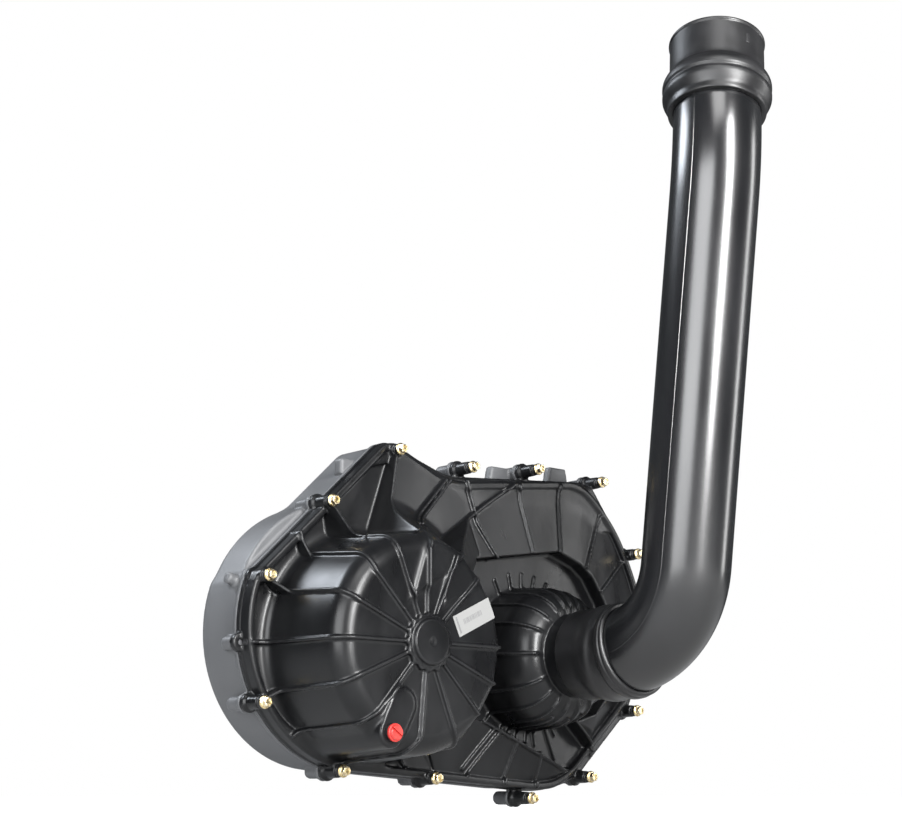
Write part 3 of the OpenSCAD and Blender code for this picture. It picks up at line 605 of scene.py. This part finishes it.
# ---------------------------------------------------------------------------
# The grey back housing
# ---------------------------------------------------------------------------
def make_housing():
    step = 2.0
    back = -JOINT
    g = Grid((-176, -184, back - 28), (470, 258, 2), step)
    x, y, h = g.x, g.y, g.h
    edge = polygon_distance(x, y, outline()).astype(np.float32)[:, :, None]
    flange = np.abs(h - HOUSING_TOP + 3) - 3
    # tub with a slight draft, hollowed out
    drum = (np.hypot(x - DRUM_C[0], y - DRUM_C[1]) - DRUM_R)[:, :, None]
    lean = (HOUSING_TOP - h) * 0.012
    outer = smooth_min(edge + 2.5, np.maximum(drum, h + 14), 6.0) + lean
    tub = smooth_max(outer, back - h, 9.0)
    cavity = np.minimum(edge + 2.5, np.maximum(drum, h + 18)) + lean + HOUSING_WALL
    inner = smooth_max(cavity, back + HOUSING_WALL - h, 6.0)
    f = np.maximum(tub, h - HOUSING_TOP)
    f = np.minimum(f, smooth_max(edge, flange, 1.0))
    tube = np.hypot(x - OUTLET[0], y - OUTLET[1])[:, :, None]
    spigot = smooth_max(tube - OUTLET_R, np.maximum(back - 24 - h, h - back - 2), 1.5)
    f = smooth_min(f, spigot, 3.0)
    f = smooth_max(f, -inner, 1.0)
    # columns and ears for the screws, and for the low ear
    for p in SCREWS:
        r = np.hypot(x - p[0], y - p[1])[:, :, None]
        column = smooth_max(r - 8, np.maximum(h - HOUSING_TOP, HOUSING_TOP - 28 - h), 1.5)
        ear = smooth_max(r - BOSS_R - EAR, flange, 1.0)
        f = smooth_min(f, np.minimum(column, ear), 2.0)
    r = np.hypot(x - LOW_EAR[0], y - LOW_EAR[1])[:, :, None]
    f = smooth_min(f, smooth_max(r - 8, np.maximum(h - HOUSING_TOP, HOUSING_TOP - 18 - h), 1.0), 2.0)
    # two lugs on the top, as left edge, width, foot and height
    for left, width, low, tall in ((224, 48, 208, 30), (326, 42, 216, 33)):
        mid = left + width / 2
        slope = np.abs(x - mid) - width / 2 + 7 * (y - low) / tall
        lug = smooth_max(np.maximum(slope, y - low - tall)[:, :, None], np.abs(h + 20) - 6, 1.5)
        f = smooth_min(f, np.maximum(lug, low - y[:, :, None]), 3.0)
    # hose stub on the side, a little behind the flange
    across = np.hypot(side_of(x, y, DRUM_C, (-150, 68))[:, :, None], h + 20)
    reach = ((x + 150) * 0.946 - (y - 68) * 0.324)[:, :, None]
    stub = smooth_max(across - 6.5, np.maximum(-8 - reach, reach - 20), 2.0)
    f = smooth_min(f, stub, 3.0)
    # tab behind the two highest bosses
    tab = np.maximum(np.maximum(np.abs(x) - 10, np.abs(y - 209) - 9)[:, :, None], np.abs(h + 17) - 7)
    f = smooth_min(f, tab, 2.0)
    # faint raised lines across the back, then each shaft hole with its collar and its four studs
    back_lines = nearest(x, y, [((-110, 0), (-60, 0)), ((0, -100), (0, -60)), ((80, 0), (180, 0)),
                                ((330, 0), (430, 0)), ((255, 75), (255, 190)), ((255, -75), (255, -140)),
                                ((60, 60), (110, 90)), ((-90, 90), (-50, 50)), ((-90, -80), (-50, -50)),
                                ((310, 60), (390, 140)), ((200, 60), (150, 120))])[:, :, None]
    f = smooth_min(f, smooth_max(back_lines - 2.2, np.maximum(h - back - 1, back - h), 1.0), 1.5)
    for centre, hole, ring, studs in (((0, 0), 46, 78, 65), ((SHAFTS, 0), 40, 72, 60)):
        r = np.hypot(x - centre[0], y - centre[1])[:, :, None]
        f = smooth_min(f, smooth_max(r - ring, np.abs(h - back - 3.5) - 3.5, 1.0), 1.5)
        f = np.maximum(f, hole - r)
        for k in range(4):
            a = math.radians(45 + 90 * k)
            stud = (centre[0] + studs * math.cos(a), centre[1] + studs * math.sin(a))
            f = np.maximum(f, 4.5 - np.hypot(x - stud[0], y - stud[1])[:, :, None])
    f = np.maximum(f, np.where(h < back + 10, 35 - tube, -5))
    for p in SCREWS:
        r = np.hypot(x - p[0], y - p[1])[:, :, None]
        f = np.maximum(f, np.where(h > HOUSING_TOP - 20, 4.5 - r, -5))
    points, quads = g.skin(f)
    piece("grey_back_housing", points, quads, "housing_grey", "housing", ["back_housing"])


# ---------------------------------------------------------------------------
# Turned pieces, swept pieces, screws
# ---------------------------------------------------------------------------
def turned(profile, sides, place):
    """Points and quads of a closed (radius, height) profile turned about an axis, moved by place."""
    profile = np.asarray(profile, float)
    angle = np.linspace(0, 2 * math.pi, sides, endpoint=False)
    ring = np.stack([np.outer(np.cos(angle), profile[:, 0]), np.outer(np.sin(angle), profile[:, 0]),
                     np.broadcast_to(profile[:, 1], (sides, len(profile)))], 2)
    n = len(profile)
    faces = []
    for i in range(sides):
        for j in range(n):
            a, b = i * n + j, i * n + (j + 1) % n
            c, d = ((i + 1) % sides) * n + (j + 1) % n, ((i + 1) % sides) * n + j
            faces.append((a, d, c, b))
    return place(ring.reshape(-1, 3)), faces


def rounded(points, radius, steps=4):
    """A closed profile with its corners rounded."""
    out = []
    n = len(points)
    for i, p in enumerate(points):
        p, before, after = (np.array(q, float) for q in (p, points[i - 1], points[(i + 1) % n]))
        r = radius[i] if isinstance(radius, (list, tuple)) else radius
        u, v = before - p, after - p
        cut = min(r, 0.45 * np.linalg.norm(u), 0.45 * np.linalg.norm(v))
        a, b = p + u / np.linalg.norm(u) * cut, p + v / np.linalg.norm(v) * cut
        for k in range(steps + 1):
            t = k / steps
            out.append((1 - t) ** 2 * a + 2 * t * (1 - t) * p + t * t * b)
    return out


def translation(x=0.0, y=0.0, z=0.0):
    return Matrix.Translation((x, y, z))


def turn(axis, degrees):
    return Matrix.Rotation(math.radians(degrees), 4, axis)


def bent(radius, degrees):
    """From the start of a bend of this radius to a station this many degrees along it."""
    return translation(0, radius) @ turn("X", -degrees) @ translation(0, -radius)


# Stations of the duct's centre line, as in the CAD model
SPIN = 39.5                        # turn between the elbow's plane and the upper bend's plane
ELBOW_START, ELBOW_R, ELBOW_ANGLE = 170.0, 107.0, 80.7
LONG_STRAIGHT, BEND_R, BEND_ANGLE, TOP_STRAIGHT = 411.0, 250.0, 22.8, 102.0
ELBOW_FOOT = translation(SHAFTS, 0, ELBOW_START) @ turn("Z", 1.9)
STRAIGHT_FOOT = ELBOW_FOOT @ bent(ELBOW_R, ELBOW_ANGLE)
BEND_FOOT = STRAIGHT_FOOT @ translation(0, 0, LONG_STRAIGHT) @ turn("Z", -SPIN)
TOP_FOOT = BEND_FOOT @ bent(BEND_R, BEND_ANGLE)
MOUTH = TOP_FOOT @ translation(0, 0, TOP_STRAIGHT)


def placed(matrix):
    """A function that moves points by the matrix."""
    m = np.array(matrix)
    return lambda p: p @ m[:3, :3].T + m[:3, 3]


def duct_stations():
    frames = [ELBOW_FOOT @ translation(0, 0, d) for d in np.linspace(-34, -4, 6)]
    frames += [ELBOW_FOOT @ bent(ELBOW_R, a) for a in np.linspace(0, ELBOW_ANGLE, 31)]
    frames += [STRAIGHT_FOOT @ translation(0, 0, d) for d in np.linspace(12, LONG_STRAIGHT - 12, 34)]
    frames += [BEND_FOOT @ bent(BEND_R, a) @ turn("Z", SPIN) for a in np.linspace(0, BEND_ANGLE, 14)]
    last = TOP_STRAIGHT - 52
    frames += [TOP_FOOT @ translation(0, 0, d) @ turn("Z", SPIN) for d in np.linspace(6, last, 9)]
    return frames


def make_duct():
    """The blow-moulded pipe, with a thin parting line down two sides."""
    seam = math.radians(8)
    angles = [2 * math.pi * i / 120 for i in range(120)]
    for s in (seam, seam + math.pi):
        angles += [s + math.radians(d) for d in (-0.9, -0.45, 0.45, 0.9)]
    angles = sorted(a % (2 * math.pi) for a in angles)

    def ridge(a):
        near = min(abs((a - s + math.pi) % (2 * math.pi) - math.pi) for s in (seam, seam + math.pi))
        return 0.55 if near < math.radians(0.5) else 0.0

    frames = duct_stations()
    n = len(angles)
    points, faces = [], []
    for m in frames:
        m = np.array(m)
        for r, edge in ((DUCT_R - 0.1, True), (DUCT_R - DUCT_WALL, False)):
            radii = [r + (ridge(a) if edge else 0) for a in angles]
            ring = np.array([[q * math.cos(a), q * math.sin(a), 0] for q, a in zip(radii, angles)])
            points.append(ring @ m[:3, :3].T + m[:3, 3])
    last = len(frames) - 1
    for i in range(last):
        for j in range(n):
            k = (j + 1) % n
            a, b = 2 * i * n, 2 * (i + 1) * n
            faces.append((a + j, a + k, b + k, b + j))
            faces.append((a + n + j, b + n + j, b + n + k, a + n + k))
    for j in range(n):
        k = (j + 1) % n
        faces.append((j, n + j, n + k, k))
        e = 2 * last * n
        faces.append((e + j, e + k, e + n + k, e + n + j))
    piece("intake_pipe", np.concatenate(points), faces, "duct_black", "housing", ["intake_duct"], 40)


def on_centre_line(points):
    """Points about the duct's centre line, with their heights measured along it from the joint plane."""
    out = np.empty_like(points)
    for h in np.unique(points[:, 2]):
        on = points[:, 2] == h
        past = h - ELBOW_START
        m = bent(ELBOW_R, math.degrees(past / ELBOW_R)) if past > 0 else translation(0, 0, past)
        ring = points[on].copy()
        ring[:, 2] = 0
        out[on] = placed(ELBOW_FOOT @ m)(ring)
    return out


def make_boot():
    r = NECK_R
    profile = [(r + 0.1, 117), (r + 3.2, 117), (r + 4.2, 119), (r + 4.1, 145), (r + 7.2, 157),
               (r + 7.6, 166), (r + 5.6, 172), (r + 5.2, 181), (r + 7.4, 183), (r + 7.6, 188),
               (r + 6.4, 189.5), (r + 6.8, 191), (r + 6.4, 193.5), (r + 4.2, 194.5),
               (DUCT_R + 0.3, 194.5), (DUCT_R + 0.1, 137), (r + 0.1, 134)]
    radii = [0.4, 1.2, 1.2, 10, 8, 5, 4, 1.5, 1.2, 1, 0.5, 0.8, 1, 0.8, 0.4, 0.4, 0.4]
    points, faces = turned(rounded(profile, radii), 144, on_centre_line)
    piece("inlet_boot_skin", points, faces, "rubber_black", "housing", ["inlet_boot"], 50)


def make_cuff():
    r = DUCT_R
    profile = [(r + 0.1, -98), (r + 5.6, -98), (r + 6.2, -95), (r + 6.6, -90), (r + 9.5, -85),
               (r + 12.2, -79), (r + 12.3, -74), (r + 10.6, -71.5), (r + 10.6, -69.5), (r + 12.4, -67),
               (r + 12.4, -61), (r + 9.8, -55), (r + 4.6, -49.5), (r + 4.1, -44), (r + 4.0, -4),
               (r + 5.3, -2.5), (r + 5.3, 0), (r - 0.5, 0), (r - 0.5, -51.5), (r + 0.1, -51.5)]
    radii = [0.4, 1.2, 1, 3, 5, 3, 1.6, 1, 1, 1.8, 2.5, 3, 2.5, 4, 1.5, 0.8, 0.8, 0.8, 0.5, 0.4]
    points, faces = turned(rounded(profile, radii), 160, placed(MOUTH))
    piece("mouth_cuff_skin", points, faces, "rubber_black", "housing", ["duct_cuff"], 50)
    # two small moulded tabs on the sleeve, lower at their ends
    foot = r + 3.5
    tab = rounded([(foot, -30), (r + 5.6, -29), (r + 5.6, -17), (foot, -16)], 0.8, 3)
    half_width = math.radians(2.4)
    for n, a in enumerate((118, -62)):
        pts, fcs = [], []
        for across, tall in ((-1, 0.55), (-0.6, 1.0), (0.6, 1.0), (1, 0.55)):
            turned_to = math.radians(a) + across * half_width
            for q in tab:
                reach = foot + (q[0] - foot) * tall
                pts.append((reach * math.cos(turned_to), reach * math.sin(turned_to), q[1]))
        m = len(tab)
        for i in range(3):
            for j in range(m):
                k = (j + 1) % m
                fcs.append((i * m + j, (i + 1) * m + j, (i + 1) * m + k, i * m + k))
        fcs.append(tuple(range(m)))
        fcs.append(tuple(range(4 * m - 1, 3 * m - 1, -1)))
        piece(f"cuff_tab_{n + 1}", placed(MOUTH)(np.array(pts)), fcs, "rubber_black", "housing", (), 40)


def hex_head(r, low, high, sides=48):
    """Points and faces of a hexagon head with a chamfered top and a shallow dish."""
    def ring(scale, z, round_part):
        out = []
        for i in range(sides):
            a = 2 * math.pi * i / sides
            flat = r * math.cos(math.pi / 6) / math.cos((a % (math.pi / 3)) - math.pi / 6)
            reach = (flat * (1 - round_part) + min(flat, r * 0.93) * round_part) * scale
            out.append((reach * math.cos(a), reach * math.sin(a), z))
        return out

    rings = [ring(1, low, 0), ring(1, high - 1.0, 0), ring(0.97, high - 0.3, 0.7), ring(0.86, high, 1),
             ring(0.7, high, 1), ring(0.6, high - 0.9, 1), ring(0.1, high - 1.1, 1)]
    points = [p for q in rings for p in q]
    faces = []
    for i in range(len(rings) - 1):
        for j in range(sides):
            k = (j + 1) % sides
            faces.append((i * sides + j, i * sides + k, (i + 1) * sides + k, (i + 1) * sides + j))
    faces.append(tuple(range((len(rings) - 1) * sides, len(rings) * sides)))
    faces.append(tuple(range(sides - 1, -1, -1)))
    return points, faces


def joined(parts):
    """Several (points, faces) as one."""
    points, faces, start = [], [], 0
    for p, f in parts:
        points += [tuple(q) for q in p]
        faces += [tuple(i + start for i in q) for q in f]
        start += len(p)
    return points, faces


def as_is(points):
    return points


def flange_screw():
    flange = rounded([(0.01, 0), (7.1, 0), (7.1, 1.3), (6.5, 1.9), (5.5, 2.5), (0.01, 2.9)],
                     [0, 0.3, 0.5, 0.4, 0.4, 0], 3)
    shank = [(0.01, -42), (2.6, -42), (3.0, -41), (3.0, 0.5), (0.01, 0.5)]
    return joined([turned(flange, 48, as_is), turned(shank, 24, as_is), hex_head(5.6, 1.5, 7.6)])


def spin(points, angle):
    """Points turned about the h axis."""
    c, s = math.cos(angle), math.sin(angle)
    return np.asarray(points, float) @ np.array([[c, s, 0], [-s, c, 0], [0, 0, 1]])


def at_each_screw(part, height, step=0.0):
    """Copies of a part at every boss, each turned by one more step in degrees."""
    points, faces = part
    parts = []
    for n, (x, y) in enumerate(SCREWS):
        parts.append((spin(points, math.radians(step * n)) + (x, y, height), faces))
    return joined(parts)


def make_fasteners():
    piece("flange_screws", *at_each_screw(flange_screw(), BOSS_H + 6, 17.0), "zinc_yellow", "housing",
          ["cover_screws"], 30)
    grommet = [(4.55, 0), (6.4, 0), (6.9, 1.2), (6.0, 2.3), (6.0, 3.4), (6.9, 4.6), (6.5, 6), (4.55, 6)]
    grommet = rounded(grommet, [0.2, 0.6, 0.6, 0.5, 0.5, 0.6, 0.6, 0.2], 3)
    piece("screw_grommet_rings", *at_each_screw(turned(grommet, 40, as_is), BOSS_H), "rubber_black",
          "housing", ["screw_grommets"], 45)


def bake_modifiers(obj):
    """The object's mesh with its modifiers applied."""
    bpy.context.view_layer.update()
    shape = obj.evaluated_get(bpy.context.evaluated_depsgraph_get())
    mesh = bpy.data.meshes.new_from_object(shape)
    obj.modifiers.clear()
    obj.data = mesh


def make_plug():
    """The red plug, with a slot cut across its head."""
    place = np.array((PLUG[0], PLUG[1], PLUG_H))
    head = rounded([(0.01, 1.5), (4.5, 1.5), (4.5, -18), (7.0, -18), (7.0, 2.5), (9.4, 2.5), (9.4, 5.5),
                    (8.3, 5.5), (8.0, 6.9), (7.2, 8.4), (0.01, 8.4)], 0.45, 3)
    points, faces = turned(head, 72, as_is)
    obj = piece("red_plug_cap", points + place, faces, "plug_red", "plug", ["drain_plug"], 40)
    slot = [(sx * 12, sy * 1.15, z) for sx in (-1, 1) for sy in (-1, 1) for z in (6.3, 12)]
    slot = spin(slot, math.radians(-35)) + place
    mesh = bpy.data.meshes.new("slot_cutter")
    mesh.from_pydata(in_model(slot), [], [(0, 1, 3, 2), (4, 6, 7, 5), (0, 4, 5, 1), (2, 3, 7, 6),
                                          (0, 2, 6, 4), (1, 5, 7, 3)])
    cutter = bpy.data.objects.new("slot_cutter", mesh)
    bpy.context.scene.collection.objects.link(cutter)
    cut = obj.modifiers.new("slot", "BOOLEAN")
    cut.operation, cut.object, cut.solver = "DIFFERENCE", cutter, "EXACT"
    bake_modifiers(obj)
    obj.data.set_sharp_from_angle(angle=math.radians(40))
    bpy.data.objects.remove(cutter)


def make_label():
    """A thin film with rounded corners, turned 25 degrees, with plain UVs for its print."""
    half_w, half_h = 29, 12
    corners = rounded([(-half_w, -half_h), (half_w, -half_h), (half_w, half_h), (-half_w, half_h)], 1.2, 4)
    n = len(corners)
    flat = [(cx, cy, z) for z in (0.05, 0.35) for cx, cy in corners]
    points = spin(flat, math.radians(25)) + (68, 31, FACE_H)
    faces = [tuple(range(n, 2 * n)), tuple(range(n - 1, -1, -1))]
    faces += [(i, (i + 1) % n, n + (i + 1) % n, n + i) for i in range(n)]
    obj = piece("info_film", points, faces, "label_white", "housing", ["info_label"], 30)
    uv = obj.data.uv_layers.new(name="print")
    for loop in obj.data.loops:
        cx, cy = corners[loop.vertex_index % n]
        uv.data[loop.index].uv = ((cx + half_w) / (2 * half_w), (cy + half_h) / (2 * half_h))


# ---------------------------------------------------------------------------
# Camera, floor and light
# ---------------------------------------------------------------------------
def make_camera():
    data = bpy.data.cameras.new("camera")
    data.lens, data.sensor_width, data.sensor_fit = 72.0, 36.0, "HORIZONTAL"
    data.clip_end = 60
    camera = bpy.data.objects.new("camera", data)
    yaw, pitch = math.radians(-42.1), math.radians(-11.8)
    back = Vector((math.sin(yaw) * math.cos(pitch), -math.cos(yaw) * math.cos(pitch), math.sin(pitch)))
    right = Vector((math.cos(yaw), math.sin(yaw), 0))
    up = back.cross(right)
    m = Matrix((right, up, back)).transposed().to_4x4()
    m.translation = (-1.2757, -1.6498, -0.1565)
    camera.matrix_world = m
    bpy.context.scene.collection.objects.link(camera)
    bpy.context.scene.camera = camera


# Name, place, what it points at, size, watts, colour
SOFTBOXES = [
    ("softbox_left", (-2.2, -1.25, 0.55), (0.1, -0.25, 0.15), (1.7, 1.8), 88, (0.97, 0.985, 1.0)),
    ("softbox_back", (-1.0, 1.55, 1.75), (0.0, -0.1, 0.0), (1.0, 0.7), 42, (0.86, 0.92, 1.0)),
    ("softbox_front", (-0.8, -1.5, 2.2), (0.0, -0.2, 0.0), (1.0, 0.9), 20, (1, 1, 1)),
    ("softbox_tall", (-0.2, -2.4, 0.9), (0.35, -0.3, 0.35), (0.42, 1.8), 150, (1, 1, 1)),
    ("strip_right", (2.2, -1.6, 0.6), (0.25, -0.4, 0.2), (0.35, 1.7), 20, (1, 1, 1)),
]


def area_light(name, place, target, size, power, colour):
    data = bpy.data.lights.new(name, "AREA")
    data.shape, data.size, data.size_y = "RECTANGLE", size[0], size[1]
    data.energy, data.color = power, colour
    light = bpy.data.objects.new(name, data)
    light.location = place
    aim = Vector(target) - Vector(place)
    light.rotation_euler = aim.to_track_quat("-Z", "Y").to_euler()
    bpy.context.scene.collection.objects.link(light)


def make_stage():
    """A pale floor and a white surround that light the object less than they show to the camera."""
    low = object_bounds()[0][2]
    size, floor_z = 9.0, low - 0.012
    mesh = bpy.data.meshes.new("floor")
    corners = [(sx * size, sy * size, floor_z) for sx, sy in ((-1, -1), (1, -1), (1, 1), (-1, 1))]
    mesh.from_pydata(corners, [], [(0, 1, 2, 3)])
    floor = bpy.data.objects.new("floor", mesh)
    bpy.context.scene.collection.objects.link(floor)
    m, nodes, links, shader = new_material("pale_floor")
    where = nodes.new("ShaderNodeTexCoord").outputs["Object"]
    tint = spread(nodes, links, noise(nodes, links, where, 1.5), 0, 1)
    pale = mix_colours(nodes, links, tint, (0.5, 0.5, 0.5), (0.54, 0.54, 0.54))
    links.new(pale, shader.inputs["Base Color"])
    shader.inputs["Roughness"].default_value = 0.9
    shader.inputs["Emission Color"].default_value = (1, 1, 1, 1)
    links.new(nodes.new("ShaderNodeLightPath").outputs["Is Camera Ray"], shader.inputs["Emission Strength"])
    mesh.materials.append(m)
    world = bpy.data.worlds.new("studio")
    world.use_nodes = True
    tree = world.node_tree
    seen = tree.nodes["Background"]
    seen.inputs["Color"].default_value = (1, 1, 1, 1)
    seen.inputs["Strength"].default_value = 1.0
    fill = tree.nodes.new("ShaderNodeBackground")
    fill.inputs["Color"].default_value = (0.9, 0.95, 1, 1)
    fill.inputs["Strength"].default_value = 0.1
    choose = tree.nodes.new("ShaderNodeMixShader")
    tree.links.new(tree.nodes.new("ShaderNodeLightPath").outputs["Is Camera Ray"], choose.inputs["Fac"])
    tree.links.new(fill.outputs["Background"], choose.inputs[1])
    tree.links.new(seen.outputs["Background"], choose.inputs[2])
    tree.links.new(choose.outputs["Shader"], tree.nodes["World Output"].inputs["Surface"])
    bpy.context.scene.world = world
    for light in SOFTBOXES:
        area_light(*light)
    bpy.context.scene.view_settings.view_transform = "Standard"


def make_all():
    make_camera()
    for name, obj in frame["nodes"].items():
        obj.data.materials.clear()
        obj.data.materials.append(MATERIALS[SLOT_OF[name]])
    make_cover()
    make_housing()
    make_duct()
    make_boot()
    make_cuff()
    make_fasteners()
    make_plug()
    make_label()
    make_stage()


make_all()
